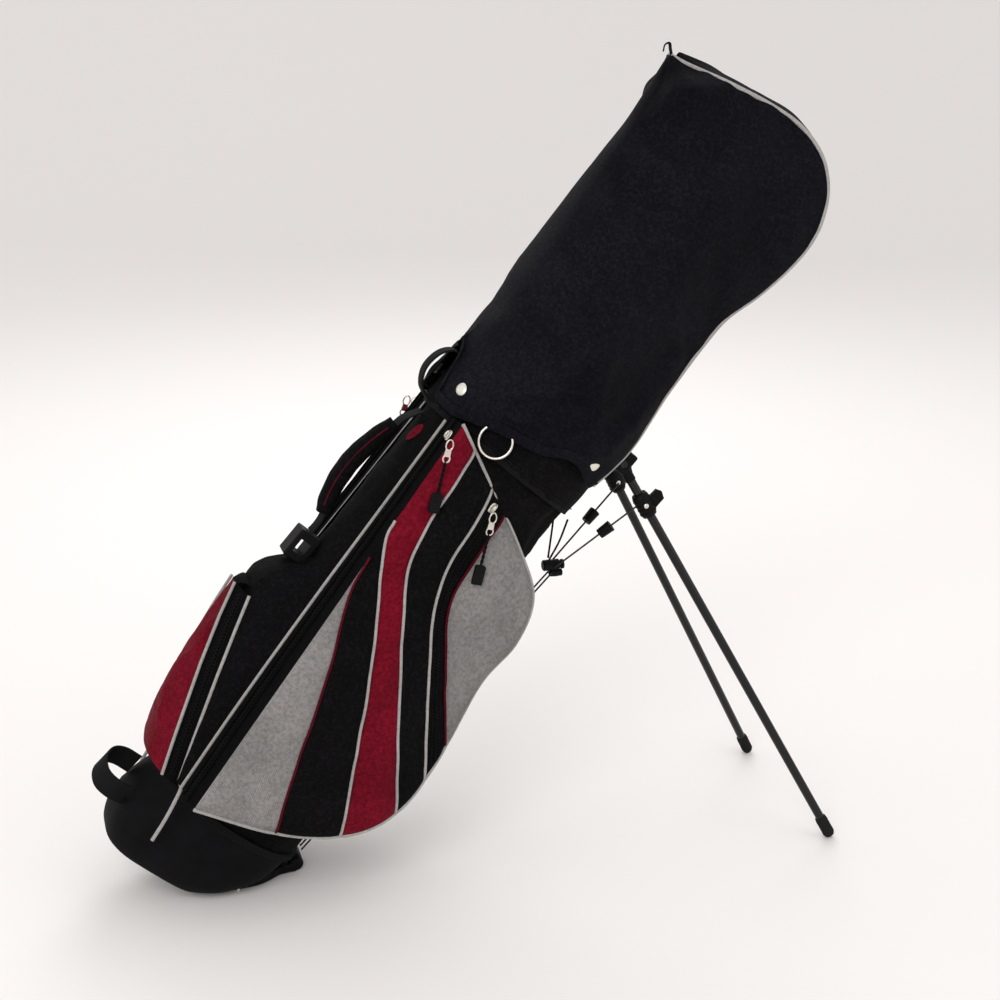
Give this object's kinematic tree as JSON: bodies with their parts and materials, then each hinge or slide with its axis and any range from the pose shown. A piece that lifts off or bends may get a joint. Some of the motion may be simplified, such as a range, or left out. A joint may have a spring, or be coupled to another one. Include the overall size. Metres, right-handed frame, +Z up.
{
  "type": "golf stand bag",
  "caption": "Soft golf bag standing tipped on its moulded base and two fold-out legs, with side and ball pockets, a carry handle, a foot-lever stand and a lift-off rain hood.",
  "frame": {"origin": "centre of the overall box at floor height, with the bag standing on its base and both open legs", "axes": "+Z up; +X from the base towards the leg feet, the way the bag leans; +Y across the bag, away from the valuables pocket"},
  "size_m": [1.0196, 0.299, 1.0872],
  "materials": {
    "fabric_black": "woven polyester",
    "fabric_hood": "coated ripstop polyester",
    "fabric_red": "woven polyester",
    "fabric_grey": "coarse woven polyester",
    "webbing_black": "ribbed webbing",
    "plastic_black": "moulded, fine texture",
    "leg_tube_black": "black anodised, glossy",
    "nickel": "nickel plated",
    "spring_steel": "black oxide",
    "rubber_black": "matt",
    "rod_aluminium": "satin",
    "pull_nickel": "nickel plated, with a black cord and moulded end"
  },
  "bodies": {
    "bag": {"base_cup": "plastic_black", "foot_lever_pin": "spring_steel", "bag_tube": "fabric_black", "top_cuff": "plastic_black", "club_divider": "plastic_black", "stay_rod_near": "rod_aluminium", "stay_rod_far": "rod_aluminium", "collar_band": "fabric_black", "side_pocket_near": "fabric_black", "side_pocket_far": "fabric_black", "valuables_pocket": "fabric_grey", "ball_pocket": "fabric_red", "towel_ring_tab": "webbing_black", "handle_grip": "fabric_black", "handle_strap_upper": "webbing_black", "handle_strap_lower": "webbing_black", "strap_buckle": "plastic_black", "base_loop": "webbing_black", "grab_loop": "webbing_black", "strap_anchor": "plastic_black", "stand_head": "plastic_black", "leg_pin_near": "spring_steel", "leg_pin_far": "spring_steel", "snap_stud_spine_near": "nickel", "snap_stud_spine_far": "nickel", "snap_stud_leg_near": "nickel", "snap_stud_leg_far": "nickel", "elastic_cord_near": "webbing_black", "elastic_cord_far": "webbing_black"},
    "leg_near": {"leg_near": "leg_tube_black", "foot_tip_near": "rubber_black", "leg_bracket_near": "plastic_black"},
    "leg_far": {"leg_far": "leg_tube_black", "foot_tip_far": "rubber_black", "leg_bracket_far": "plastic_black"},
    "spring_wire_near": {"spring_wire_near": "spring_steel", "wire_clip_near": "plastic_black"},
    "spring_wire_far": {"spring_wire_far": "spring_steel", "wire_clip_far": "plastic_black"},
    "yoke": {"wire_yoke": "plastic_black"},
    "long_wires": {"long_wire_near": "spring_steel", "long_wire_far": "spring_steel"},
    "foot_lever": {"foot_lever": "plastic_black"},
    "hood": {"rain_hood": "fabric_hood", "snap_cap_spine_near": "nickel", "snap_cap_spine_far": "nickel", "snap_cap_leg_near": "nickel", "snap_cap_leg_far": "nickel"},
    "main_zip_slider_near": {"main_zip_slider_near": "nickel"},
    "main_zip_slider_far": {"main_zip_slider_far": "nickel"},
    "main_zip_pull_near": {"main_zip_pull_near": "pull_nickel"},
    "main_zip_pull_far": {"main_zip_pull_far": "pull_nickel"},
    "valuables_zip_slider": {"valuables_zip_slider": "nickel"},
    "valuables_zip_pull": {"valuables_zip_pull": "pull_nickel"},
    "towel_ring": {"towel_ring": "nickel"}
  },
  "joints": [
    {"name": "leg_near_fold", "type": "hinge", "parent": "bag", "child": "leg_near", "pos_m": [0.20404, -0.048, 0.55988], "axis": [0.1172, 0.9877, -0.1037], "range_deg": [0, 66]},
    {"name": "leg_far_fold", "type": "hinge", "parent": "bag", "child": "leg_far", "pos_m": [0.20404, 0.048, 0.55988], "axis": [-0.1172, 0.9877, 0.1037], "range_deg": [0, 66]},
    {"name": "spring_wire_near_turn", "type": "hinge", "parent": "leg_near", "child": "spring_wire_near", "pos_m": [0.23623, -0.05814, 0.4997], "axis": [-0.1172, -0.9877, 0.1037], "range_deg": [0, 90]},
    {"name": "spring_wire_far_turn", "type": "hinge", "parent": "leg_far", "child": "spring_wire_far", "pos_m": [0.23623, 0.05814, 0.4997], "axis": [0.1172, -0.9877, -0.1037], "range_deg": [0, 90]},
    {"name": "yoke_slide", "type": "slide", "parent": "bag", "child": "yoke", "axis": [-0.6626, 0, -0.749], "range_m": [0, 0.044], "deforming": ["elastic_cord_near", "elastic_cord_far"]},
    {"name": "foot_lever_turn", "type": "hinge", "parent": "bag", "child": "foot_lever", "pos_m": [-0.3345, 0, 0.0078], "axis": [0, 1, 0], "range_deg": [0, 31.9]},
    {"name": "long_wires_swing", "type": "hinge", "parent": "yoke", "child": "long_wires", "pos_m": [0.12343, 0, 0.39464], "axis": [0, -1, 0], "range_deg": [0, 3.6]},
    {"name": "hood_lift", "type": "slide", "parent": "bag", "child": "hood", "axis": [0.6626, 0, 0.749], "range_m": [0, 0.45]},
    {"name": "main_zip_near_run", "type": "slide", "parent": "bag", "child": "main_zip_slider_near", "axis": [-0.6196, -0.0734, -0.7815], "range_m": [0, 0.5]},
    {"name": "main_zip_near_pull_swing", "type": "hinge", "parent": "main_zip_slider_near", "child": "main_zip_pull_near", "pos_m": [-0.0452, -0.11347, 0.62952], "axis": [0.0487, -0.9973, 0.055], "range_deg": [-60, 40]},
    {"name": "main_zip_far_run", "type": "slide", "parent": "bag", "child": "main_zip_slider_far", "axis": [-0.6196, 0.0734, -0.7815], "range_m": [0, 0.5]},
    {"name": "main_zip_far_pull_swing", "type": "hinge", "parent": "main_zip_slider_far", "child": "main_zip_pull_far", "pos_m": [-0.0452, 0.11347, 0.62952], "axis": [0.0487, 0.9973, 0.055], "range_deg": [-60, 60]},
    {"name": "valuables_zip_run", "type": "hinge", "parent": "bag", "child": "valuables_zip_slider", "pos_m": [0.23338, -0.11013, 0.33498], "axis": [0.0487, -0.9973, 0.055], "range_deg": [0, 45]},
    {"name": "valuables_zip_pull_swing", "type": "hinge", "parent": "valuables_zip_slider", "child": "valuables_zip_pull", "pos_m": [0.00662, -0.12873, 0.53293], "axis": [0.0487, -0.9973, 0.055], "range_deg": [-60, 60]},
    {"name": "towel_ring_swing", "type": "hinge", "parent": "bag", "child": "towel_ring", "pos_m": [0.01464, -0.10182, 0.64027], "axis": [-0.9503, 0.3113, 0], "range_deg": [0, 110]}
  ],
  "couplings": [
    {"joint": "leg_far_fold", "follows": "leg_near_fold", "ratio": 1},
    {"joint": "spring_wire_near_turn", "follows": "leg_near_fold", "ratio": 1.3587},
    {"joint": "spring_wire_far_turn", "follows": "leg_near_fold", "ratio": 1.3587},
    {"joint": "yoke_slide", "follows": "leg_near_fold", "m_per_rad": 0.037763},
    {"joint": "foot_lever_turn", "follows": "leg_near_fold", "ratio": 0.47955},
    {"joint": "long_wires_swing", "follows": "leg_near_fold", "ratio": 0.051}
  ]
}
